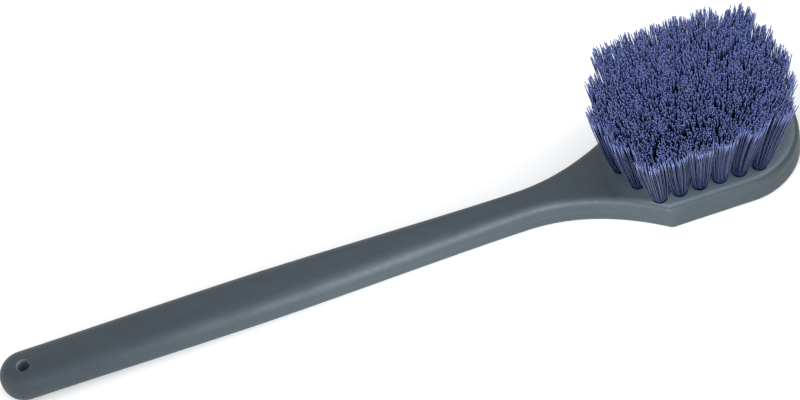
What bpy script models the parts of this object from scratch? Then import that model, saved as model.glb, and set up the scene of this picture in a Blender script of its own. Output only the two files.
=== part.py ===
"""Long-handled utility brush: a one-piece moulded block and handle, staple-set bristle tufts in
lengthwise rows, and the flat-wire anchor staple that holds each tuft in its blind hole.

Metres, +Z up, +X towards the head. The brush lies on its back with the bristles up. The origin is on
the flat back, under the centre of the tuft field.
"""

import math

import bmesh
import bpy

MM = 0.001

# Fits and cuts
CLEARANCE = 0.3 * MM
CUT_OVERRUN = 2 * MM

# Tuft field: how many tufts each lengthwise row has, from the -Y side
TUFTS_PER_ROW = (6, 7, 8, 7, 6)
TUFT_HOLE_DIAMETER = 9 * MM
TUFT_HOLE_DEPTH = 13 * MM
HOLE_WALL = 4.4 * MM
OUTER_HOLE_WALL = 3.5 * MM

# Slice of the block face that carries one row of strands, and the rib left between two slices
SLICE_THICKNESS = 2 * MM
SLICE_MARGIN = 1 * MM
RIB_WIDTH = 3.2 * MM

# Moulded block and handle, seen from above
OVERALL_LENGTH = 508 * MM
TIP_RIM = 12.6 * MM
SIDE_RIM = 6.5 * MM
SHOULDER_PAST_TUFT = 4.25 * MM
SHOULDER_RADIUS = 6.5 * MM
SHOULDER_ANGLE = math.radians(36.5)
NECK_WIDTH = 20.2 * MM
GRIP_WIDTH = 31.4 * MM
GRIP_FROM_END = 146 * MM
HANDLE_END_WIDTH = 30.3 * MM
GRIP_SWELL_POWER = 1.4

# Moulded block and handle, seen from the side
BODY_THICKNESS = 22 * MM
HEAD_EDGE_RADIUS = 4.5 * MM
GRIP_SIDE_FLAT = 3 * MM
EDGE_BLEND_LENGTH = 220 * MM

# Hanging hole
HANG_HOLE_DIAMETER = 8 * MM
HANG_HOLE_FROM_END = 17 * MM
HANG_HOLE_CHAMFER = 1 * MM

# Bristles
TRIM_HEIGHT = 58.5 * MM
FORWARD_LEAN = 1.9 * MM
END_LEAN = 8.6 * MM
CORNER_LEAN = 4.5 * MM
SIDE_LEAN = 11.2 * MM
CORNER_DRAW = 1.8 * MM
HEAD_DRAW = 4.5 * MM
SPREAD_ALONG = 2.9 * MM
SPREAD_ACROSS = 5 * MM
STRANDS_PER_TUFT = 12
STRAND_ROOT_DIAMETER = 1.4 * MM
STRAND_TIP_DIAMETER = 2.2 * MM
STRAND_ROOT_DEPTH = 0.6 * MM

# Flat-wire anchor staple
WIRE_HEIGHT = 2 * MM
WIRE_THICKNESS = 0.5 * MM
WIRE_BITE = 0.5 * MM
FOLD_THICKNESS = 1.2 * MM

# Facets
HEAD_ARC_STEPS = 14
SHOULDER_ARC_STEPS = 3
FLARE_STEPS = 10
SWELL_STEPS = 9
GRIP_STEPS = 4
HANDLE_ARC_STEPS = 8
EDGE_STEPS = 4
HANG_HOLE_SIDES = 24
SLICE_END_STEPS = 8
TUFT_HOLE_SIDES = 10
STRAND_SIDES = 3

GOLDEN_ANGLE = math.pi * (3 - math.sqrt(5))

ROWS = len(TUFTS_PER_ROW)
HOLE_RADIUS = TUFT_HOLE_DIAMETER / 2
SLICE_RADIUS = HOLE_RADIUS + SLICE_MARGIN
TUFT_PITCH = TUFT_HOLE_DIAMETER + HOLE_WALL
OUTER_TUFT_PITCH = TUFT_HOLE_DIAMETER + OUTER_HOLE_WALL
ROW_PITCH = 2 * (SLICE_RADIUS + CLEARANCE) + RIB_WIDTH
LONGEST_ROW = (max(TUFTS_PER_ROW) - 1) * TUFT_PITCH
OUTER_ROW = (TUFTS_PER_ROW[0] - 1) * OUTER_TUFT_PITCH
FIELD_WIDTH = (ROWS - 1) * ROW_PITCH + TUFT_HOLE_DIAMETER
HEAD_WIDTH = FIELD_WIDTH + 2 * SIDE_RIM
HEAD_TIP_X = LONGEST_ROW / 2 + HOLE_RADIUS + TIP_RIM
SHOULDER_X = SHOULDER_PAST_TUFT - OUTER_ROW / 2
HANDLE_END_X = HEAD_TIP_X - OVERALL_LENGTH
HANG_HOLE_X = HANDLE_END_X + HANG_HOLE_FROM_END
GRIP_EDGE_RADIUS = (BODY_THICKNESS - GRIP_SIDE_FLAT) / 2
WIRE_CENTRE_Z = (
    BODY_THICKNESS - TUFT_HOLE_DEPTH + 2 * CLEARANCE + FOLD_THICKNESS + WIRE_HEIGHT / 2
)


def clear_scene():
    for obj in list(bpy.data.objects):
        bpy.data.objects.remove(obj, do_unlink=True)


def plain_material(name, colour, roughness, metallic=0.0):
    material = bpy.data.materials.new(name)
    material.use_nodes = True
    shader = material.node_tree.nodes["Principled BSDF"]
    shader.inputs["Base Color"].default_value = (*colour, 1.0)
    shader.inputs["Roughness"].default_value = roughness
    shader.inputs["Metallic"].default_value = metallic
    material.diffuse_color = (*colour, 1.0)
    return material


def add_object(name, mesh, location=(0, 0, 0)):
    obj = bpy.data.objects.new(name, mesh)
    obj.location = location
    bpy.context.scene.collection.objects.link(obj)
    return obj


def mesh_of(bm, name, material=None):
    """The finished mesh of bm, with its faces pointing out and smooth where its walls are round."""
    bmesh.ops.recalc_face_normals(bm, faces=bm.faces)
    mesh = bpy.data.meshes.new(name)
    bm.to_mesh(mesh)
    bm.free()
    if material:
        mesh.materials.append(material)
    mesh.shade_smooth()
    mesh.set_sharp_from_angle(angle=math.radians(40))
    return mesh


def add_helper(name, bm, location=(0, 0, 0)):
    """A shape that only a Boolean reads: it is never rendered."""
    helper = add_object(name, mesh_of(bm, name), location)
    helper.hide_render = True
    helper.display_type = "WIRE"
    return helper


def add_boolean(obj, operation, helper):
    modifier = obj.modifiers.new(f"{operation.lower()} {helper.name}", "BOOLEAN")
    modifier.operation = operation
    modifier.solver = "EXACT"
    modifier.object = helper


def ease(share):
    """0 to 1 with no slope at either end."""
    return (1 - math.cos(math.pi * min(max(share, 0), 1))) / 2


def skin_rings(bm, rings):
    """Closes a stack of vertex rings into one solid: a band between neighbours and a cap at each end."""
    for lower, upper in zip(rings, rings[1:]):
        for i, corner in enumerate(lower):
            after = (i + 1) % len(lower)
            bm.faces.new((corner, lower[after], upper[after], upper[i]))
    bm.faces.new(reversed(rings[0]))
    bm.faces.new(rings[-1])


def add_turned(bm, profile, sides, centre=(0, 0)):
    """A solid of revolution about a vertical axis. The profile is (radius, height) from the bottom up."""
    rings = []
    for radius, height in profile:
        turns = [2 * math.pi * i / sides for i in range(sides)]
        rings.append([
            bm.verts.new((
                centre[0] + radius * math.cos(turn),
                centre[1] + radius * math.sin(turn),
                height,
            ))
            for turn in turns
        ])
    skin_rings(bm, rings)


def add_box(bm, low, high):
    rings = [
        [
            bm.verts.new((x, y, z))
            for x, y in ((low[0], low[1]), (high[0], low[1]), (high[0], high[1]), (low[0], high[1]))
        ]
        for z in (low[2], high[2])
    ]
    skin_rings(bm, rings)


def add_stadium(bm, straight, radius, low, high, centre_y=0):
    """An upright slab whose outline is a straight run along X with a half circle at each end."""
    rings = []
    for height in (low, high):
        ring = []
        for side in (1, -1):
            for i in range(SLICE_END_STEPS + 1):
                turn = math.pi * i / SLICE_END_STEPS - side * math.pi / 2
                ring.append(bm.verts.new((
                    side * straight / 2 + radius * math.cos(turn),
                    centre_y + radius * math.sin(turn),
                    height,
                )))
        rings.append(ring)
    skin_rings(bm, rings)


def row_y(row):
    return (row - (ROWS - 1) / 2) * ROW_PITCH


def tuft_pitch(row):
    """The two outer rows are set a little closer, to keep inside the rounded corners of the block."""
    return OUTER_TUFT_PITCH if row in (0, ROWS - 1) else TUFT_PITCH


def tuft_xs(row):
    count = TUFTS_PER_ROW[row]
    return [(i - (count - 1) / 2) * tuft_pitch(row) for i in range(count)]


def row_length(row):
    """Distance between the centres of the first and the last tuft."""
    return (TUFTS_PER_ROW[row] - 1) * tuft_pitch(row)


def tuft_lean(row, x):
    """How far a tuft leans out by its tip, along X and along Y.

    It grows with the distance from the middle of the field. Towards the ends of a row the sideways
    lean is less. At the head's tip the outer rows also lean on, to fill the corners.
    """
    side = row_y(row) / row_y(ROWS - 1)
    end_share = (x / (row_length(row) / 2)) ** 2
    lean_x = FORWARD_LEAN + END_LEAN * x / (LONGEST_ROW / 2)
    draw = CORNER_DRAW
    if x > 0:
        lean_x += CORNER_LEAN * abs(side) * end_share
        draw = HEAD_DRAW
    return lean_x, (SIDE_LEAN - draw * end_share) * side


def half_outline():
    """The +Y half of the plan outline, from the head's tip to the handle's end, as (x, y) points."""
    half_head = HEAD_WIDTH / 2
    half_neck = NECK_WIDTH / 2
    half_grip = GRIP_WIDTH / 2
    half_end = HANDLE_END_WIDTH / 2
    points = []
    head_arc_x = HEAD_TIP_X - half_head
    for i in range(HEAD_ARC_STEPS + 1):
        turn = math.pi / 2 * i / HEAD_ARC_STEPS
        points.append((head_arc_x + half_head * math.cos(turn), half_head * math.sin(turn)))
    for i in range(SHOULDER_ARC_STEPS + 1):
        turn = SHOULDER_ANGLE * i / SHOULDER_ARC_STEPS
        points.append((
            SHOULDER_X - SHOULDER_RADIUS * math.sin(turn),
            half_head - SHOULDER_RADIUS * (1 - math.cos(turn)),
        ))
    flare_x, flare_top = points[-1]
    rise = flare_top - half_neck
    flare_length = 2 * rise / math.tan(SHOULDER_ANGLE)
    neck_x = flare_x - flare_length
    for i in range(1, FLARE_STEPS + 1):
        share = 1 - i / FLARE_STEPS
        points.append((neck_x + flare_length * share, half_neck + rise * share**2))
    grip_x = HANDLE_END_X + GRIP_FROM_END
    for i in range(1, SWELL_STEPS + 1):
        share = i / SWELL_STEPS
        swell = math.sin(math.pi / 2 * share) ** GRIP_SWELL_POWER
        points.append((
            neck_x + (grip_x - neck_x) * share,
            half_neck + (half_grip - half_neck) * swell,
        ))
    end_arc_x = HANDLE_END_X + half_end
    for i in range(1, GRIP_STEPS + 1):
        share = i / GRIP_STEPS
        points.append((
            grip_x + (end_arc_x - grip_x) * share,
            half_grip + (half_end - half_grip) * ease(share),
        ))
    for i in range(1, HANDLE_ARC_STEPS + 1):
        turn = math.pi / 2 * i / HANDLE_ARC_STEPS
        points.append((end_arc_x - half_end * math.sin(turn), half_end * math.cos(turn)))
    return points


def edge_radius(x):
    """The edge rounding at x: tight round the block, and full along the grip."""
    share = ease((SHOULDER_X - x) / EDGE_BLEND_LENGTH)
    return HEAD_EDGE_RADIUS + (GRIP_EDGE_RADIUS - HEAD_EDGE_RADIUS) * share


def closed_outline():
    """The whole plan outline, counter-clockwise, as (x, y, inward x, inward y, edge radius)."""
    half = half_outline()
    loop = half + [(x, -y) for x, y in reversed(half[1:-1])]
    outline = []
    for i, (x, y) in enumerate(loop):
        before = loop[i - 1]
        after = loop[(i + 1) % len(loop)]
        along_x = after[0] - before[0]
        along_y = after[1] - before[1]
        length = math.hypot(along_x, along_y)
        outline.append((x, y, -along_y / length, along_x / length, edge_radius(x)))
    return outline


def build_body_mesh(material):
    """The moulding before its holes: the plan outline carried up through rounded edges."""
    bm = bmesh.new()
    levels = []
    for i in range(EDGE_STEPS + 1):
        turn = math.pi / 2 * i / EDGE_STEPS
        levels.append((1 - math.sin(turn), 1 - math.cos(turn)))
    rings = []
    for inset_share, height_share in levels:
        rings.append([
            bm.verts.new((x + in_x * r * inset_share, y + in_y * r * inset_share, r * height_share))
            for x, y, in_x, in_y, r in closed_outline()
        ])
    for inset_share, height_share in reversed(levels):
        rings.append([
            bm.verts.new((
                x + in_x * r * inset_share,
                y + in_y * r * inset_share,
                BODY_THICKNESS - r * height_share,
            ))
            for x, y, in_x, in_y, r in closed_outline()
        ])
    skin_rings(bm, rings)
    return mesh_of(bm, "handle_and_block", material)


def hang_hole_cutter():
    """The hanging hole, opened by a chamfer at both faces."""
    radius = HANG_HOLE_DIAMETER / 2
    wide = radius + HANG_HOLE_CHAMFER + CUT_OVERRUN
    bm = bmesh.new()
    profile = (
        (wide, -CUT_OVERRUN),
        (radius, HANG_HOLE_CHAMFER),
        (radius, BODY_THICKNESS - HANG_HOLE_CHAMFER),
        (wide, BODY_THICKNESS + CUT_OVERRUN),
    )
    add_turned(bm, profile, HANG_HOLE_SIDES, (HANG_HOLE_X, 0))
    return add_helper("hang_hole_cutter", bm)


def slice_pocket_cutter():
    """The shallow seat that each row's slice of the block face lies in."""
    bm = bmesh.new()
    floor = BODY_THICKNESS - SLICE_THICKNESS - CLEARANCE
    for row in range(ROWS):
        radius = SLICE_RADIUS + CLEARANCE
        add_stadium(bm, row_length(row), radius, floor, BODY_THICKNESS + CUT_OVERRUN, row_y(row))
    return add_helper("slice_pocket_cutter", bm)


def tuft_hole_cutter():
    """The blind holes that the tufts are set in."""
    bm = bmesh.new()
    profile = (
        (HOLE_RADIUS, BODY_THICKNESS - TUFT_HOLE_DEPTH),
        (HOLE_RADIUS, BODY_THICKNESS + CUT_OVERRUN),
    )
    for row in range(ROWS):
        for x in tuft_xs(row):
            add_turned(bm, profile, TUFT_HOLE_SIDES, (x, row_y(row)))
    return add_helper("tuft_hole_cutter", bm)


def wire_passage_cutter():
    """Where each staple passes through its tuft and bites into the wall of the hole."""
    bm = bmesh.new()
    reach = HOLE_RADIUS + WIRE_BITE + CLEARANCE
    half_thickness = WIRE_THICKNESS / 2 + CLEARANCE
    half_height = WIRE_HEIGHT / 2 + CLEARANCE
    for row in range(ROWS):
        for x in tuft_xs(row):
            add_box(
                bm,
                (x - reach, row_y(row) - half_thickness, WIRE_CENTRE_Z - half_height),
                (x + reach, row_y(row) + half_thickness, WIRE_CENTRE_Z + half_height),
            )
    return add_helper("wire_passage_cutter", bm)


def build_handle_and_block(material, passages):
    body = add_object("handle_and_block", build_body_mesh(material))
    add_boolean(body, "DIFFERENCE", slice_pocket_cutter())
    add_boolean(body, "DIFFERENCE", tuft_hole_cutter())
    add_boolean(body, "DIFFERENCE", passages)
    add_boolean(body, "DIFFERENCE", hang_hole_cutter())


def add_strand(bm, root, tip, turn):
    """One strand from (x, y, z) root to tip, with level ends and its own twist."""
    rings = []
    for (x, y, z), diameter in ((root, STRAND_ROOT_DIAMETER), (tip, STRAND_TIP_DIAMETER)):
        corners = [turn + 2 * math.pi * i / STRAND_SIDES for i in range(STRAND_SIDES)]
        rings.append([
            bm.verts.new((
                x + diameter / 2 * math.cos(corner),
                y + diameter / 2 * math.sin(corner),
                z,
            ))
            for corner in corners
        ])
    skin_rings(bm, rings)


def strand_helper(row):
    """The strands of one row, from inside the slice to the flat trim. Heights are from the face.

    The tufts lean apart, and each one spreads from its round hole to an oval tip, wider across
    the rows, so that no two strands cross.
    """
    bm = bmesh.new()
    root_reach = HOLE_RADIUS - CLEARANCE - STRAND_ROOT_DIAMETER / 2
    tip_reach_x = HOLE_RADIUS + SPREAD_ALONG - STRAND_TIP_DIAMETER / 2
    tip_reach_y = HOLE_RADIUS + SPREAD_ACROSS - STRAND_TIP_DIAMETER / 2
    sunk_share = STRAND_ROOT_DEPTH / TRIM_HEIGHT
    for x in tuft_xs(row):
        lean_x, lean_y = tuft_lean(row, x)
        for k in range(STRANDS_PER_TUFT):
            spread = math.sqrt((k + 0.5) / STRANDS_PER_TUFT)
            turn = k * GOLDEN_ANGLE
            out_x = spread * math.cos(turn)
            out_y = spread * math.sin(turn)
            root = (x + root_reach * out_x, root_reach * out_y)
            tip = (x + lean_x + tip_reach_x * out_x, lean_y + tip_reach_y * out_y)
            sunk = [a - (b - a) * sunk_share for a, b in zip(root, tip)]
            add_strand(bm, (*sunk, -STRAND_ROOT_DEPTH), (*tip, TRIM_HEIGHT), turn)
    return add_helper(f"strands_{row + 1}", bm, (0, row_y(row), BODY_THICKNESS))


def tuft_root_helper(row):
    """The folded foot of each tuft, a plug that fills its blind hole. Heights are from the face."""
    bm = bmesh.new()
    radius = HOLE_RADIUS - CLEARANCE
    profile = ((radius, CLEARANCE - TUFT_HOLE_DEPTH), (radius, -SLICE_THICKNESS / 2))
    for x in tuft_xs(row):
        add_turned(bm, profile, TUFT_HOLE_SIDES, (x, 0))
    return add_helper(f"tuft_roots_{row + 1}", bm, (0, row_y(row), BODY_THICKNESS))


def build_bristle_row(row, material, passages):
    """One lengthwise row of tufts, fused to its own slice of the block face."""
    name = f"bristle_row_{row + 1}"
    bm = bmesh.new()
    add_stadium(bm, row_length(row), SLICE_RADIUS, -SLICE_THICKNESS, 0)
    bristles = add_object(name, mesh_of(bm, name, material), (0, row_y(row), BODY_THICKNESS))
    add_boolean(bristles, "UNION", tuft_root_helper(row))
    add_boolean(bristles, "DIFFERENCE", passages)
    add_boolean(bristles, "UNION", strand_helper(row))


def build_anchor_staples(material):
    """One flat wire through the fold of each tuft. The staples share a mesh."""
    half_length = HOLE_RADIUS + WIRE_BITE
    bm = bmesh.new()
    add_box(
        bm,
        (-half_length, -WIRE_THICKNESS / 2, -WIRE_HEIGHT / 2),
        (half_length, WIRE_THICKNESS / 2, WIRE_HEIGHT / 2),
    )
    mesh = mesh_of(bm, "anchor_staple", material)
    for row in range(ROWS):
        for i, x in enumerate(tuft_xs(row)):
            add_object(f"anchor_staple_{row + 1}_{i + 1}", mesh, (x, row_y(row), WIRE_CENTRE_Z))


def main():
    clear_scene()
    moulding = plain_material("slate_plastic", (0.085, 0.115, 0.135), 0.5)
    fibre = plain_material("blue_bristle", (0.065, 0.085, 0.25), 0.45)
    wire = plain_material("anchor_wire", (0.62, 0.6, 0.56), 0.35, 1.0)
    passages = wire_passage_cutter()
    build_handle_and_block(moulding, passages)
    for row in range(ROWS):
        build_bristle_row(row, fibre, passages)
    build_anchor_staples(wire)


main()
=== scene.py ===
"""Looks of a long-handled utility brush: the fine moulding, the filaments of every tuft, the
materials, and a plain pale studio.

Metres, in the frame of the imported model: +X towards the head, bristles up, the origin on the flat
back under the centre of the tuft field.
"""

import math

import bmesh
import bpy
import numpy as np
from mathutils import Matrix, Vector


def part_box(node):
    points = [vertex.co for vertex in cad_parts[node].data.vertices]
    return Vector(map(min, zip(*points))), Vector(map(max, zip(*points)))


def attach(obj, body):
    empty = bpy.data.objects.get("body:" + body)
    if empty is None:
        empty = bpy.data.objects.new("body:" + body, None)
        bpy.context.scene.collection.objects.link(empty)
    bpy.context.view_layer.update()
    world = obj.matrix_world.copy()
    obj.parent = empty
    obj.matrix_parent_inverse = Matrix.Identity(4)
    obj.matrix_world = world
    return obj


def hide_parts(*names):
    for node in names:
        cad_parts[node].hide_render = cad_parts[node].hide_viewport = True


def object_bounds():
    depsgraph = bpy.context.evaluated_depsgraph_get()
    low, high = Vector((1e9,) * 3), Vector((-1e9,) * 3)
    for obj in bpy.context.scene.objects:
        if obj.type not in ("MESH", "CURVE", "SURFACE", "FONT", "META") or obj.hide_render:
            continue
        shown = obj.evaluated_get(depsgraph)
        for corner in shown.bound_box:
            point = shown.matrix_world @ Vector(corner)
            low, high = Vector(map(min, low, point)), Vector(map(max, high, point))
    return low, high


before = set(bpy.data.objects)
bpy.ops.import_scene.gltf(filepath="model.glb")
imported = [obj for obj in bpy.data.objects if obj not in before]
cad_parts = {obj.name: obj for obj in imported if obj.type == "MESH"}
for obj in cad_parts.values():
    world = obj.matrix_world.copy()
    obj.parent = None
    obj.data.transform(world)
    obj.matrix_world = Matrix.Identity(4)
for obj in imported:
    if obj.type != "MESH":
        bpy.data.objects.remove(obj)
CAD_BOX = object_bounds()

MM = 0.001

# The moulding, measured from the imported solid
BODY_LOW, BODY_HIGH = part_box("handle_and_block")
HANDLE_END_X = BODY_LOW.x
HEAD_TIP_X = BODY_HIGH.x
FACE_Z = BODY_HIGH.z
HALF_HEAD = BODY_HIGH.y
TRIM_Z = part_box("bristle_row_3")[1].z

# The moulding's outline, as the solid has it
SHOULDER_X = -27 * MM
SHOULDER_RADIUS = 6.5 * MM
SHOULDER_ANGLE = math.radians(36.5)
HALF_NECK = 10.1 * MM
HALF_GRIP = 15.7 * MM
HALF_END = 15.15 * MM
GRIP_FROM_END = 146 * MM
GRIP_SWELL_POWER = 1.4
HEAD_EDGE_RADIUS = 4.5 * MM
GRIP_EDGE_RADIUS = 9.5 * MM
EDGE_BLEND_LENGTH = 220 * MM

# Fine detail of the moulding
PARTING_LINE_WIDTH = 0.5 * MM
PARTING_LINE_PROUD = 0.1 * MM
FACE_BORDER = 0.4 * MM
HANG_HOLE_RADIUS = 4 * MM
HANG_HOLE_FROM_END = 17 * MM
HANG_HOLE_X = HANDLE_END_X + HANG_HOLE_FROM_END
HANG_HOLE_LIP = 1 * MM
TUFT_HOLE_RADIUS = 4.5 * MM
TUFT_HOLE_DEPTH = 13 * MM
TUFT_HOLE_LIP = 0.35 * MM
CUT_OVERRUN = 2 * MM
MOULDING_SHARP_ANGLE = math.radians(35)

# Steps of the fine outline and of its holes
HEAD_ARC_STEPS = 48
SHOULDER_ARC_STEPS = 8
FLARE_STEPS = 36
SWELL_STEPS = 48
GRIP_STEPS = 16
HANDLE_ARC_STEPS = 28
EDGE_STEPS = 8
HANG_HOLE_SIDES = 64
HANG_HOLE_LIP_STEPS = 6
TUFT_HOLE_SIDES = 32

# Filaments: how many, how thick, and how they stand in their hole beside the staple's wire
SEED = 11
FILAMENTS_PER_TUFT = 190
FILAMENT_DIAMETER = 0.62 * MM
FILAMENT_SIDES = 6
FILAMENT_SHARP_ANGLE = math.radians(65)
FREE_STEPS = 8
ROOT_DEPTH = 11.9 * MM
ROOT_WALL_GAP = 0.42 * MM
WIRE_TOP_DEPTH = 8.6 * MM
WIRE_GAP = 0.68 * MM

# The spread of a tuft's tips, and how far the tuft leans there
REACH_ALONG = 10.6 * MM
REACH_ACROSS = 11.8 * MM
FORWARD_LEAN = 1.4 * MM
END_LEAN = 6.2 * MM
CORNER_LEAN = 9 * MM
SIDE_LEAN = 11 * MM
CORNER_DRAW = 1.6 * MM
HEAD_DRAW = 6.5 * MM
LEAN_CURVE_SHARE = 0.35
SPLAY_POWER = 0.52

# What keeps the filaments from standing in rank: clumps, strays, a bow and an uneven trim
CLUMPS_PER_TUFT = 6
CLUMP_SPREAD_SHARE = 0.8
CLUMP_PULL_SHARE = 0.15
TUFT_STRAY = 0.5 * MM
FILAMENT_STRAY = 0.7 * MM
LOOSE_SHARE = 0.02
LOOSE_REACH = 3 * MM
FILAMENT_BOW = 0.9 * MM
BOW_GAIN = 4
BOW_POWER = 1.5
TRIM_STRAY = 0.3 * MM
TUFT_TRIM_STRAY = TRIM_STRAY / 2

# How far beyond the solids a filament may reach
SIDE_LIMIT = 2 * MM
TRIM_LIMIT = 1.8 * MM

# Margins and end caps in the filaments' texture map
ATLAS_MARGIN_SHARE = 0.12
ATLAS_CAP_WIDE_SHARE = 0.4
ATLAS_CAP_HIGH_SHARE = 0.25

GOLDEN_ANGLE = math.pi * (3 - math.sqrt(5))

# Linear base colours
MOULDING_DARK = (0.020, 0.032, 0.041, 1)
MOULDING_LIGHT = (0.029, 0.043, 0.053, 1)
MOULDING_BLUE = (0.023, 0.039, 0.052, 1)
MOULDING_SPECK = (0.06, 0.075, 0.085, 1)
MOULDING_WORN = (0.08, 0.095, 0.105, 1)
# Pale colour painted over shaded places on the block's face and in the hanging hole: painted light
MOULDING_PAINTED_LIGHT = (0.14, 0.18, 0.215, 1)
FILAMENT_DARK = (0.018, 0.032, 0.108, 1)
FILAMENT_LIGHT = (0.034, 0.055, 0.168, 1)
FILAMENT_VIOLET = (0.037, 0.041, 0.140, 1)
# Painted shade towards the filaments' roots, deep in the tufts
FILAMENT_ROOT_SHADE = (0.013, 0.024, 0.084, 1)
# Pale colour of the drawn streaks, and of the tips: wear together with painted light on the top of the
# tufts
FILAMENT_STREAK_AND_TIP_LIGHT = (0.212, 0.273, 0.595, 1)
WIRE_BRIGHT = (0.6172, 0.5972, 0.5520, 1)
WIRE_OXIDE = (0.3050, 0.2623, 0.2086, 1)
FLOOR_COLOUR = (0.96, 0.96, 0.96, 1)
FLOOR_GLOW_COLOUR = (1, 1, 1, 1)

# Texture scales, in features a metre, on each axis where there are three
STREAK_SCALES = (9, 42, 42)
MOTTLE_SCALE = 55
SPECK_SCALE = 1500
SCUFF_SCALES = (60, 900, 900)
SCUFF_ZONE_SCALE = 22
PEEL_SCALE = 480
GRAIN_SCALE = 2600
PATCH_SCALE = 34
DRAWN_SCALES = (1400, 1400, 160)
WIRE_LINE_SCALES = (200, 9000, 9000)
OXIDE_SCALE = 700

# Heights of the bumps
PEEL_HEIGHT = 0.12 * MM
GRAIN_HEIGHT = 0.02 * MM
SCUFF_DEPTH = 0.03 * MM
DRAWN_HEIGHT = 0.03 * MM
WIRE_LINE_HEIGHT = 0.01 * MM

# Wear: how strongly scuffs show and where the rubbing starts; and how far the pale film of painted light
# reaches, which lifts the shade under the bristles
SCUFF_SHARE = 0.35
RUB_FADE = 20 * MM
PAINTED_LIGHT_REACH = 30 * MM
PAINTED_LIGHT_DEPTH = 1 * MM
PAINTED_LIGHT_FULL_DEPTH = 0.25 * MM

# The studio
FLOOR_HALF_WIDTH = 4
FLOOR_GAP = 0.05 * MM
FLOOR_ROUGHNESS = 0.9
FLOOR_SPECULAR = 0.1
FLOOR_GLOW = 0.12
SURROUND_COLOUR = (0.98, 0.99, 1, 1)
SURROUND_STRENGTH = 1.08
PANEL_PLACE = Vector((-0.15, -0.28, 0.12))
PANEL_TARGET = Vector((-0.13, 0, 0.02))
PANEL_SIZE = (0.24, 0.12)
PANEL_POWER = 1.24
PANEL_COLOUR = (0.96, 1, 1)

# The photographed view
CAMERA_TARGET = Vector((-179.4 * MM, 35.9 * MM, 12 * MM))
CAMERA_DISTANCE = 1.7
CAMERA_ELEVATION = math.radians(54)
CAMERA_ROLL = math.radians(18.28)
CAMERA_SENSOR_MM = 36
CAMERA_LENS_MM = 124.52
CAMERA_FAR_CLIP = 100


def ease(share):
    """0 to 1 with no slope at either end."""
    return (1 - math.cos(math.pi * min(max(share, 0), 1))) / 2


def add_object(name, mesh, material=None):
    """A new object in the scene, in its material where one is given."""
    obj = bpy.data.objects.new(name, mesh)
    bpy.context.scene.collection.objects.link(obj)
    if material:
        mesh.materials.clear()
        mesh.materials.append(material)
    return obj


def mesh_from(bm, name):
    """The bmesh as a mesh of its own, with its faces pointing out."""
    bmesh.ops.recalc_face_normals(bm, faces=bm.faces)
    mesh = bpy.data.meshes.new(name)
    bm.to_mesh(mesh)
    bm.free()
    return mesh


def skin_rings(bm, rings):
    """Closes a stack of vertex rings into one solid: a band between neighbours and a cap at each end."""
    for lower, upper in zip(rings, rings[1:]):
        for i, corner in enumerate(lower):
            after = (i + 1) % len(lower)
            bm.faces.new((corner, lower[after], upper[after], upper[i]))
    bm.faces.new(reversed(rings[0]))
    bm.faces.new(rings[-1])


def half_outline():
    """The +Y half of the plan outline, from the head's tip to the handle's end, as (x, y) points."""
    points = []
    # The head's round tip
    head_arc_x = HEAD_TIP_X - HALF_HEAD
    for i in range(HEAD_ARC_STEPS + 1):
        turn = math.pi / 2 * i / HEAD_ARC_STEPS
        points.append((head_arc_x + HALF_HEAD * math.cos(turn), HALF_HEAD * math.sin(turn)))
    # The straight side and the shoulder at its end
    for i in range(SHOULDER_ARC_STEPS + 1):
        turn = SHOULDER_ANGLE * i / SHOULDER_ARC_STEPS
        points.append((
            SHOULDER_X - SHOULDER_RADIUS * math.sin(turn),
            HALF_HEAD - SHOULDER_RADIUS * (1 - math.cos(turn)),
        ))
    # The concave flare, a parabola that leaves the shoulder at its angle and ends level at the neck
    flare_x, flare_top = points[-1]
    rise = flare_top - HALF_NECK
    flare_length = 2 * rise / math.tan(SHOULDER_ANGLE)
    neck_x = flare_x - flare_length
    for i in range(1, FLARE_STEPS + 1):
        share = 1 - i / FLARE_STEPS
        points.append((neck_x + flare_length * share, HALF_NECK + rise * share**2))
    # The handle's swell from the neck to the widest part of the grip
    grip_x = HANDLE_END_X + GRIP_FROM_END
    for i in range(1, SWELL_STEPS + 1):
        share = i / SWELL_STEPS
        swell = math.sin(math.pi / 2 * share) ** GRIP_SWELL_POWER
        points.append((
            neck_x + (grip_x - neck_x) * share,
            HALF_NECK + (HALF_GRIP - HALF_NECK) * swell,
        ))
    # The slight taper behind it
    end_arc_x = HANDLE_END_X + HALF_END
    for i in range(1, GRIP_STEPS + 1):
        share = i / GRIP_STEPS
        points.append((
            grip_x + (end_arc_x - grip_x) * share,
            HALF_GRIP + (HALF_END - HALF_GRIP) * ease(share),
        ))
    # The handle's round end
    for i in range(1, HANDLE_ARC_STEPS + 1):
        turn = math.pi / 2 * i / HANDLE_ARC_STEPS
        points.append((end_arc_x - HALF_END * math.sin(turn), HALF_END * math.cos(turn)))
    return points


def closed_outline():
    """The whole plan outline, counter-clockwise, as (x, y, inward x, inward y, edge radius)."""
    half = half_outline()
    loop = half + [(x, -y) for x, y in reversed(half[1:-1])]
    outline = []
    for i, (x, y) in enumerate(loop):
        before = loop[i - 1]
        after = loop[(i + 1) % len(loop)]
        along_x = after[0] - before[0]
        along_y = after[1] - before[1]
        length = math.hypot(along_x, along_y)
        blend = ease((SHOULDER_X - x) / EDGE_BLEND_LENGTH)
        radius = HEAD_EDGE_RADIUS + (GRIP_EDGE_RADIUS - HEAD_EDGE_RADIUS) * blend
        outline.append((x, y, -along_y / length, along_x / length, radius))
    return outline


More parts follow.
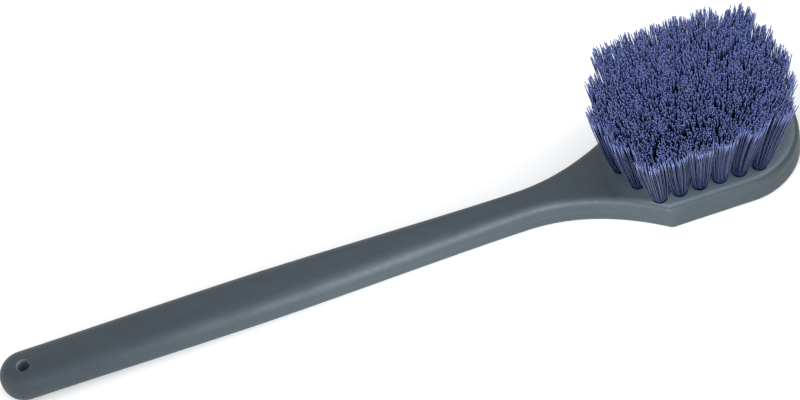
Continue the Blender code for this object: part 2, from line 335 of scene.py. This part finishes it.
def section_levels(radius):
    """The moulding's side from bottom to top, as (inset, height), for one edge radius."""
    turns = [math.pi / 2 * i / EDGE_STEPS for i in range(EDGE_STEPS + 1)]
    rounding = [(radius * (1 - math.sin(turn)), radius * (1 - math.cos(turn))) for turn in turns]
    half_line = PARTING_LINE_WIDTH / 2
    middle = FACE_Z / 2
    levels = [(radius + FACE_BORDER, 0)] + rounding
    levels += [
        (0, middle - half_line),
        (-PARTING_LINE_PROUD, middle - half_line / 2),
        (-PARTING_LINE_PROUD, middle + half_line / 2),
        (0, middle + half_line),
    ]
    levels += [(inset, FACE_Z - height) for inset, height in reversed(rounding)]
    levels.append((radius + FACE_BORDER, FACE_Z))
    return levels


def moulding_blank():
    """The moulding before its holes, with rounded edges and the mould's parting line."""
    bm = bmesh.new()
    columns = []
    for x, y, in_x, in_y, radius in closed_outline():
        columns.append([
            bm.verts.new((x + in_x * inset, y + in_y * inset, height))
            for inset, height in section_levels(radius)
        ])
    skin_rings(bm, list(zip(*columns)))
    return bm


def add_turned(bm, profile, sides, centre):
    """A solid of revolution about a vertical axis. The profile is (radius, height) from the bottom up."""
    turns = [2 * math.pi * i / sides for i in range(sides)]
    rings = []
    for radius, height in profile:
        rings.append([
            bm.verts.new((
                centre[0] + radius * math.cos(turn),
                centre[1] + radius * math.sin(turn),
                height,
            ))
            for turn in turns
        ])
    skin_rings(bm, rings)


def hanging_hole_profile():
    """The hanging hole with its rounded lips, running past both faces."""
    lip = []
    for i in range(HANG_HOLE_LIP_STEPS + 1):
        turn = math.pi / 2 * i / HANG_HOLE_LIP_STEPS
        lip.append((
            HANG_HOLE_RADIUS + HANG_HOLE_LIP * (1 - math.sin(turn)),
            HANG_HOLE_LIP * (1 - math.cos(turn)),
        ))
    wide = HANG_HOLE_RADIUS + HANG_HOLE_LIP
    profile = [(wide, -CUT_OVERRUN)] + lip
    profile += [(radius, FACE_Z - height) for radius, height in reversed(lip)]
    profile.append((wide, FACE_Z + CUT_OVERRUN))
    return profile


def hole_cutters(tufts):
    """The hanging hole, and the blind tuft holes with their small countersinks."""
    bm = bmesh.new()
    add_turned(bm, hanging_hole_profile(), HANG_HOLE_SIDES, (HANG_HOLE_X, 0))
    tuft_profile = (
        (TUFT_HOLE_RADIUS, FACE_Z - TUFT_HOLE_DEPTH),
        (TUFT_HOLE_RADIUS, FACE_Z - TUFT_HOLE_LIP),
        (TUFT_HOLE_RADIUS + TUFT_HOLE_LIP + CUT_OVERRUN, FACE_Z + CUT_OVERRUN),
    )
    for row in tufts:
        for centre in row:
            add_turned(bm, tuft_profile, TUFT_HOLE_SIDES, centre)
    return bm


def build_moulding(tufts, material):
    """The handle and block in one piece, with every hole cut."""
    blank = add_object("moulding_blank", mesh_from(moulding_blank(), "moulding_blank"))
    cutters = add_object("hole_cutters", mesh_from(hole_cutters(tufts), "hole_cutters"))
    cut = blank.modifiers.new("holes", "BOOLEAN")
    cut.operation = "DIFFERENCE"
    cut.solver = "EXACT"
    cut.object = cutters
    evaluated = blank.evaluated_get(bpy.context.evaluated_depsgraph_get())
    mesh = bpy.data.meshes.new_from_object(evaluated)
    mesh.name = "handle_moulding"
    bpy.data.objects.remove(blank)
    bpy.data.objects.remove(cutters)
    mesh.shade_smooth()
    mesh.set_sharp_from_angle(angle=MOULDING_SHARP_ANGLE)
    piece = add_object("handle_moulding", mesh, material)
    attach(piece, "root")
    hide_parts("handle_and_block")
    return piece


def tuft_centres():
    """The centre of every tuft as rows of (x, y), read from the staple that holds each one."""
    rows = {}
    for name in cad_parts:
        if name.startswith("anchor_staple_"):
            row = int(name.split("_")[2])
            low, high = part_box(name)
            rows.setdefault(row, []).append(((low.x + high.x) / 2, (low.y + high.y) / 2))
    return [sorted(rows[row]) for row in sorted(rows)]


def tuft_lean(centre, field):
    """How far a tuft leans out by its tip, along X and along Y.

    Towards the ends of a row the sideways lean is less. At the head's tip the outer rows also lean
    on, to fill the corners.
    """
    x, y = centre
    longest, widest, row_end = field
    side = y / widest
    end_share = (x / row_end) ** 2
    lean_x = FORWARD_LEAN + END_LEAN * x / longest
    draw = CORNER_DRAW
    if x > 0:
        lean_x += CORNER_LEAN * abs(side) * x / row_end
        draw = HEAD_DRAW * end_share
    return np.array((lean_x, (SIDE_LEAN - draw * end_share) * side))


def clumped(disc, rng):
    """Places on the unit disc, each drawn a little towards the nearest of a few clumps."""
    clumps = rng.uniform(-CLUMP_SPREAD_SHARE, CLUMP_SPREAD_SHARE, (CLUMPS_PER_TUFT, 2))
    distance = np.linalg.norm(disc[:, None] - clumps[None], axis=2)
    nearest = clumps[np.argmin(distance, axis=1)]
    return disc + CLUMP_PULL_SHARE * (nearest - disc)


def clear_of_wire(root, centre):
    """Places in a tuft's hole, moved off the staple's wire, which lies along X through its centre."""
    beside_wire = root[:, 1] - centre[1]
    side = np.where(beside_wire < 0, -1, 1)
    clear = centre[1] + side * np.maximum(np.abs(beside_wire), WIRE_GAP)
    return np.column_stack((root[:, 0], clear))


def filament_paths(centre, field, rng):
    """Centre lines of one tuft's filaments, as an array of filament, ring, xyz."""
    # The roots, spread evenly over the hole
    count = FILAMENTS_PER_TUFT
    index = np.arange(count)
    spread = np.sqrt((index + 0.5) / count)
    turn = index * GOLDEN_ANGLE + rng.uniform(0, 2 * math.pi)
    disc = np.stack((spread * np.cos(turn), spread * np.sin(turn)), axis=1)
    root = np.array(centre) + (TUFT_HOLE_RADIUS - ROOT_WALL_GAP) * disc

    # The tips in plan, kept within reach of the solids' sides
    tip_disc = clumped(disc, rng)
    lean = tuft_lean(centre, field) + rng.normal(0, TUFT_STRAY, 2)
    reach = np.array((REACH_ALONG, REACH_ACROSS))
    tip = np.array(centre) + lean + reach * tip_disc + rng.normal(0, FILAMENT_STRAY, (count, 2))
    loose = rng.random(count) < LOOSE_SHARE
    tip += loose[:, None] * rng.uniform(-LOOSE_REACH, LOOSE_REACH, (count, 2))
    tip[:, 1] = np.clip(tip[:, 1], CAD_BOX[0].y - SIDE_LIMIT, CAD_BOX[1].y + SIDE_LIMIT)

    # The cut height of each filament and its bow
    trim = TRIM_Z + rng.normal(0, TUFT_TRIM_STRAY) + rng.normal(0, TRIM_STRAY, count)
    trim = np.minimum(trim, TRIM_Z + TRIM_LIMIT)
    bow = rng.normal(0, FILAMENT_BOW, (count, 2))

    # Upright beside the wire, and from the face up a free stretch that leans and splays
    in_hole = clear_of_wire(root, centre)
    rings = []
    for depth in (ROOT_DEPTH, WIRE_TOP_DEPTH):
        rings.append(np.column_stack((in_hole, np.full(count, FACE_Z - depth))))
    for i in range(FREE_STEPS + 1):
        share = i / FREE_STEPS
        leant = share * (1 - LEAN_CURVE_SHARE) + share**2 * LEAN_CURVE_SHARE
        place = root + lean * leant + (tip - root - lean) * share**SPLAY_POWER
        place += bow * BOW_GAIN * share**BOW_POWER * (1 - share)
        rings.append(np.column_stack((place, FACE_Z + (trim - FACE_Z) * share)))
    return np.stack(rings, axis=1)


def filament_mesh(name, paths, rng):
    """One mesh of round filaments along the given centre lines, with an atlas cell for each."""
    count, ring_count, _ = paths.shape
    sides = FILAMENT_SIDES
    turns = rng.uniform(0, 2 * math.pi, count)[:, None] + 2 * math.pi * np.arange(sides) / sides
    radius = FILAMENT_DIAMETER / 2
    points = np.repeat(paths[:, :, None, :], sides, axis=2)
    points[..., 0] += radius * np.cos(turns)[:, None, :]
    points[..., 1] += radius * np.sin(turns)[:, None, :]

    # Faces: the walls of every filament, then its foot and its cut end
    number = np.arange(count * ring_count * sides).reshape(count, ring_count, sides)
    after = np.roll(number, -1, axis=2)
    walls = np.stack((number[:, :-1], after[:, :-1], after[:, 1:], number[:, 1:]), axis=-1)
    feet = number[:, 0, ::-1]
    ends = number[:, -1]
    faces = walls.reshape(-1, 4).tolist() + feet.tolist() + ends.tolist()
    mesh = bpy.data.meshes.new(name)
    mesh.from_pydata(points.reshape(-1, 3).tolist(), [], faces)

    # For the material: how far along its filament a point lies, and a tone for each filament
    lengths = np.linalg.norm(np.diff(paths, axis=1), axis=2)
    along = np.concatenate((np.zeros((count, 1)), np.cumsum(lengths, axis=1)), axis=1)
    along /= along[:, -1:]
    tone = rng.random(count)
    per_point = {
        "along": np.broadcast_to(along[:, :, None], number.shape),
        "tone": np.broadcast_to(tone[:, None, None], number.shape),
    }
    for key, values in per_point.items():
        attribute = mesh.attributes.new(key, "FLOAT", "POINT")
        attribute.data.foreach_set("value", np.ascontiguousarray(values, np.float32).ravel())

    add_atlas(mesh, along)
    mesh.shade_smooth()
    mesh.set_sharp_from_angle(angle=FILAMENT_SHARP_ANGLE)
    return mesh


def add_atlas(mesh, along):
    """A texture map with one upright cell for each filament, and one strip of cells for each tuft."""
    count, ring_count = along.shape
    sides = FILAMENT_SIDES
    cell_u = 1 / FILAMENTS_PER_TUFT
    cell_v = FILAMENTS_PER_TUFT / count
    filament = np.arange(count)
    low_u = (filament % FILAMENTS_PER_TUFT + ATLAS_MARGIN_SHARE) * cell_u
    low_v = (filament // FILAMENTS_PER_TUFT + ATLAS_MARGIN_SHARE / 2) * cell_v
    wide_u = (1 - 2 * ATLAS_MARGIN_SHARE) * cell_u
    high_v = (1 - ATLAS_MARGIN_SHARE) * cell_v

    side = np.arange(sides)
    left = low_u[:, None, None] + wide_u * side / sides + np.zeros((1, ring_count - 1, 1))
    right = left + wide_u / sides
    lower = low_v[:, None, None] + high_v * along[:, :-1, None] + np.zeros((1, 1, sides))
    upper = low_v[:, None, None] + high_v * along[:, 1:, None] + np.zeros((1, 1, sides))
    walls = np.stack((left, lower, right, lower, right, upper, left, upper), axis=-1)

    turn = 2 * math.pi * side / sides
    cap_u = low_u[:, None] + wide_u * (0.5 + ATLAS_CAP_WIDE_SHARE * np.cos(turn))
    cap_v = cell_v * ATLAS_MARGIN_SHARE * ATLAS_CAP_HIGH_SHARE * (1 + np.sin(turn)) / 2
    foot_v = low_v[:, None] - cap_v
    end_v = low_v[:, None] + high_v + cap_v
    feet = np.stack((cap_u[:, ::-1], foot_v[:, ::-1]), axis=-1)
    ends = np.stack((cap_u, end_v), axis=-1)

    layer = mesh.uv_layers.new(name="OFBake")
    values = np.concatenate((walls.ravel(), feet.ravel(), ends.ravel())).astype(np.float32)
    layer.data.foreach_set("uv", values)


def build_filaments(tufts, material):
    """The filaments of every row of tufts, one piece a row."""
    longest = max(abs(x) for row in tufts for x, _ in row)
    widest = max(abs(y) for row in tufts for _, y in row)
    for number, row in enumerate(tufts, start=1):
        rng = np.random.default_rng(SEED + number)
        field = (longest, widest, row[-1][0])
        paths = np.concatenate([filament_paths(centre, field, rng) for centre in row])
        name = f"filaments_row_{number}"
        piece = add_object(name, filament_mesh(name, paths, rng), material)
        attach(piece, "root")
        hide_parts(f"bristle_row_{number}")


def dress_staples(material):
    """The staples keep their solids and take the wire's finish."""
    for name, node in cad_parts.items():
        if name.startswith("anchor_staple_"):
            node.data.materials.clear()
            node.data.materials.append(material)


class Nodes:
    """A material's node tree, built up by short calls."""

    def __init__(self, name):
        self.material = bpy.data.materials.new(name)
        self.material.use_nodes = True
        self.tree = self.material.node_tree
        self.shader = self.tree.nodes["Principled BSDF"]

    def add(self, kind, inputs=None, **settings):
        """A node with its settings, and its inputs by name: each a value or another node's output."""
        node = self.tree.nodes.new(kind)
        for key, value in settings.items():
            setattr(node, key, value)
        for key, value in (inputs or {}).items():
            self.set(node.inputs[key], value)
        return node

    def set(self, socket, value):
        if isinstance(value, bpy.types.NodeSocket):
            self.tree.links.new(value, socket)
        else:
            socket.default_value = value

    def attribute(self, name):
        return self.add("ShaderNodeAttribute", attribute_name=name).outputs["Fac"]

    def place(self, scales=(1, 1, 1)):
        """Object coordinates in metres, scaled on each axis."""
        where = self.add("ShaderNodeTexCoord").outputs["Object"]
        return self.add("ShaderNodeMapping", {"Vector": where, "Scale": scales}).outputs["Vector"]

    def split(self, vector):
        """A vector's X, Y and Z."""
        return self.add("ShaderNodeSeparateXYZ", {"Vector": vector}).outputs

    def noise(self, where, scale, detail, rough, distortion=0):
        inputs = {
            "Vector": where,
            "Scale": scale,
            "Detail": detail,
            "Roughness": rough,
            "Distortion": distortion,
        }
        return self.add("ShaderNodeTexNoise", inputs).outputs["Fac"]

    def remap(self, value, low, high, to_low=0, to_high=1):
        """The value's stretch from low to high, mapped to another and held at its ends."""
        inputs = {
            "Value": value,
            "From Min": low,
            "From Max": high,
            "To Min": to_low,
            "To Max": to_high,
        }
        return self.add("ShaderNodeMapRange", inputs).outputs["Result"]

    def mix(self, share, first, second):
        node = self.add("ShaderNodeMix", data_type="RGBA")
        sockets = [socket for socket in node.inputs if socket.enabled]
        for socket, value in zip(sockets, (share, first, second)):
            self.set(socket, value)
        return [socket for socket in node.outputs if socket.enabled][0]

    def math(self, operation, first, second):
        return self.add("ShaderNodeMath", {0: first, 1: second}, operation=operation).outputs[0]

    def bump(self, height, distance, normal=None):
        inputs = {"Height": height, "Distance": distance}
        if normal:
            inputs["Normal"] = normal
        return self.add("ShaderNodeBump", inputs).outputs["Normal"]

    def finish(self, **inputs):
        """The material, with its shader's inputs set by their names in lower case."""
        for key, value in inputs.items():
            self.set(self.shader.inputs[key.replace("_", " ").title().replace("Ior", "IOR")], value)
        return self.material


def scuff_mask(n):
    """Fine scratches along the brush, gathered in zones."""
    scratches = n.noise(n.place(SCUFF_SCALES), 1, detail=4, rough=0.7)
    zones = n.noise(n.place(), SCUFF_ZONE_SCALE, detail=2, rough=0.5)
    return n.math("MULTIPLY", n.remap(scratches, 0.6, 0.72), n.remap(zones, 0.48, 0.68))


def rub_mask(n, x, mottle):
    """The handle's upper edges, rubbed paler where hands slide over them."""
    rise = n.split(n.add("ShaderNodeNewGeometry").outputs["Normal"])["Z"]
    rounding = n.math("MULTIPLY", n.remap(rise, 0.25, 0.6), n.remap(rise, 0.98, 0.8))
    rubbed = n.math("MULTIPLY", rounding, n.remap(mottle, 0.35, 0.6, to_high=0.2))
    return n.math("MULTIPLY", rubbed, n.remap(x, SHOULDER_X, SHOULDER_X - RUB_FADE))


def tuft_shade_lift_mask(n, x, z, mottle):
    """Painted light that lifts the bristles' shade on the block's face: a pale film fading out along the
    flare and just below the face.
    """
    on_block = n.remap(x, SHOULDER_X - PAINTED_LIGHT_REACH, SHOULDER_X)
    on_face = n.remap(z, FACE_Z - PAINTED_LIGHT_DEPTH, FACE_Z - PAINTED_LIGHT_FULL_DEPTH)
    lifted_shade = n.math("MULTIPLY", on_block, on_face)
    return n.math("MULTIPLY", lifted_shade, n.remap(mottle, 0.25, 0.7, to_low=0.6, to_high=0.9))


def hole_painted_light_mask(n):
    """The walls of the hanging hole and the inner half of its lips, where a pale film of painted light
    lifts the hole's shade.
    """
    plan = n.place((1, 1, 0))
    off_axis = n.add(
        "ShaderNodeVectorMath", {0: plan, 1: (HANG_HOLE_X, 0, 0)}, operation="DISTANCE"
    ).outputs["Value"]
    return n.remap(off_axis, HANG_HOLE_RADIUS + HANG_HOLE_LIP / 2, HANG_HOLE_RADIUS)


def slate_plastic():
    """Moulded slate-grey plastic: faint flow streaks, a fine orange peel, rubbed and scuffed edges,
    and a pale film of painted light on the block's face and in the hanging hole, lifting the shade there.
    """
    n = Nodes("slate_plastic")
    where = n.split(n.place())
    streaks = n.noise(n.place(STREAK_SCALES), 1, detail=5, rough=0.62, distortion=1.4)
    mottle = n.noise(n.place(), MOTTLE_SCALE, detail=4, rough=0.55)
    speck = n.noise(n.place(), SPECK_SCALE, detail=2, rough=0.6)
    scuffed = scuff_mask(n)
    rubbed = rub_mask(n, where["X"], mottle)
    worn = n.math("MAXIMUM", n.math("MULTIPLY", scuffed, SCUFF_SHARE), rubbed)

    base = n.mix(n.remap(streaks, 0.3, 0.72), MOULDING_DARK, MOULDING_LIGHT)
    base = n.mix(n.remap(mottle, 0.3, 0.7, to_high=0.35), base, MOULDING_BLUE)
    base = n.mix(n.remap(speck, 0.62, 0.78, to_high=0.25), base, MOULDING_SPECK)
    base = n.mix(worn, base, MOULDING_WORN)
    # Painted light: a pale film lifts the shade that the bristles cast on the block's face
    base = n.mix(tuft_shade_lift_mask(n, where["X"], where["Z"], mottle), base, MOULDING_PAINTED_LIGHT)
    # Painted light: the same pale film lifts the shade inside the hanging hole
    base = n.mix(hole_painted_light_mask(n), base, MOULDING_PAINTED_LIGHT)

    peel = n.noise(n.place(), PEEL_SCALE, detail=3, rough=0.5)
    grain = n.noise(n.place(), GRAIN_SCALE, detail=2, rough=0.6)
    peel_rough = n.remap(peel, 0.3, 0.7, to_low=0.5, to_high=0.6)
    rough = n.math("ADD", peel_rough, n.remap(scuffed, 0, 1, to_high=0.12))
    normal = n.bump(peel, PEEL_HEIGHT)
    normal = n.bump(grain, GRAIN_HEIGHT, normal)
    normal = n.bump(scuffed, -SCUFF_DEPTH, normal)
    return n.finish(base_color=base, roughness=rough, normal=normal)


def blue_filament():
    """Extruded violet-blue filament: each one a little lighter or darker, with painted shade darkening it
    towards the root, and a paler tip that is partly wear and partly painted light brightening the tufts'
    top over their sides.
    """
    n = Nodes("blue_filament")
    tone = n.attribute("tone")
    along = n.attribute("along")
    patches = n.noise(n.place(), PATCH_SCALE, detail=2, rough=0.5)
    drawn = n.noise(n.place(DRAWN_SCALES), 1, detail=2, rough=0.5)
    tip = n.remap(along, 0.85, 0.97)
    tip_wear_and_light = n.math("MULTIPLY", tip, n.remap(tone, 0, 1, to_low=0.6))

    base = n.mix(tone, FILAMENT_DARK, FILAMENT_LIGHT)
    base = n.mix(n.remap(patches, 0.35, 0.65, to_high=0.55), base, FILAMENT_VIOLET)
    # Painted shade: darker towards the roots, deep in the tufts
    base = n.mix(n.remap(along, 0.3, 0.95, to_low=0.9, to_high=0), base, FILAMENT_ROOT_SHADE)
    base = n.mix(n.remap(drawn, 0.4, 0.7, to_high=0.08), base, FILAMENT_STREAK_AND_TIP_LIGHT)
    # Paler tips: partly wear, partly painted light that brightens the top of the tufts over their sides
    base = n.mix(tip_wear_and_light, base, FILAMENT_STREAK_AND_TIP_LIGHT)
    rough = n.remap(drawn, 0.3, 0.7, to_low=0.36, to_high=0.5)
    normal = n.bump(drawn, DRAWN_HEIGHT)
    return n.finish(base_color=base, roughness=rough, specular_ior_level=0.3, normal=normal)


def staple_steel():
    """Flat drawn wire: bright, with fine draw lines and a little dull oxide."""
    n = Nodes("staple_steel")
    lines = n.noise(n.place(WIRE_LINE_SCALES), 1, detail=3, rough=0.6)
    oxide = n.noise(n.place(), OXIDE_SCALE, detail=3, rough=0.6)
    base = n.mix(n.remap(oxide, 0.45, 0.7, to_high=0.6), WIRE_BRIGHT, WIRE_OXIDE)
    line_rough = n.remap(lines, 0.3, 0.7, to_low=0.22, to_high=0.36)
    rough = n.math("ADD", line_rough, n.remap(oxide, 0.45, 0.7, to_high=0.2))
    normal = n.bump(lines, WIRE_LINE_HEIGHT)
    return n.finish(base_color=base, metallic=1, roughness=rough, normal=normal)


def white_table():
    """A plain white finish with a faint glow of its own, so that it stays white in the shade."""
    return Nodes("pale_floor").finish(
        base_color=FLOOR_COLOUR,
        roughness=FLOOR_ROUGHNESS,
        specular_ior_level=FLOOR_SPECULAR,
        emission_color=FLOOR_GLOW_COLOUR,
        emission_strength=FLOOR_GLOW,
    )


def build_floor():
    """The plain table that the flat back lies on."""
    half = FLOOR_HALF_WIDTH
    bm = bmesh.new()
    corners = [(-half, -half), (half, -half), (half, half), (-half, half)]
    bm.faces.new([bm.verts.new((x, y, -FLOOR_GAP)) for x, y in corners])
    floor = add_object("floor", mesh_from(bm, "floor"), white_table())
    return floor


def build_surround():
    """An even pale light from all round."""
    world = bpy.data.worlds.new("surround")
    bpy.context.scene.world = world
    world.use_nodes = True
    background = world.node_tree.nodes["Background"]
    background.inputs["Color"].default_value = SURROUND_COLOUR
    background.inputs["Strength"].default_value = SURROUND_STRENGTH
    bpy.context.scene.view_settings.view_transform = "Standard"


def build_panel(receivers):
    """A low soft light in front of the brush, flagged off everything but the receivers."""
    light = bpy.data.lights.new("front_panel", "AREA")
    light.shape = "RECTANGLE"
    light.size, light.size_y = PANEL_SIZE
    light.energy = PANEL_POWER
    light.color = PANEL_COLOUR
    panel = bpy.data.objects.new("front_panel", light)
    bpy.context.scene.collection.objects.link(panel)
    panel.visible_camera = False
    panel.location = PANEL_PLACE
    panel.rotation_euler = (PANEL_TARGET - PANEL_PLACE).to_track_quat("-Z", "Y").to_euler()
    lit = bpy.data.collections.new("front_panel_receivers")
    for receiver in receivers:
        lit.objects.link(receiver)
    panel.light_linking.receiver_collection = lit


def build_camera():
    """The photograph's view: from the front and above, turned so that the brush lies on a slant."""
    camera = bpy.data.cameras.new("camera")
    camera.sensor_width = CAMERA_SENSOR_MM
    camera.lens = CAMERA_LENS_MM
    camera.clip_end = CAMERA_FAR_CLIP
    obj = bpy.data.objects.new("camera", camera)
    bpy.context.scene.collection.objects.link(obj)
    bpy.context.scene.camera = obj
    forward = Vector((0, math.cos(CAMERA_ELEVATION), -math.sin(CAMERA_ELEVATION)))
    level_right = Vector((1, 0, 0))
    level_up = Vector((0, math.sin(CAMERA_ELEVATION), math.cos(CAMERA_ELEVATION)))
    right = level_right * math.cos(CAMERA_ROLL) - level_up * math.sin(CAMERA_ROLL)
    up = level_right * math.sin(CAMERA_ROLL) + level_up * math.cos(CAMERA_ROLL)
    turn = Matrix((right, up, -forward)).transposed().to_4x4()
    place = CAMERA_TARGET - forward * CAMERA_DISTANCE
    obj.matrix_world = Matrix.Translation(place) @ turn


def main():
    tufts = tuft_centres()
    build_camera()
    floor = build_floor()
    moulding = build_moulding(tufts, slate_plastic())
    build_surround()
    build_panel([moulding, floor])
    build_filaments(tufts, blue_filament())
    dress_staples(staple_steel())


main()
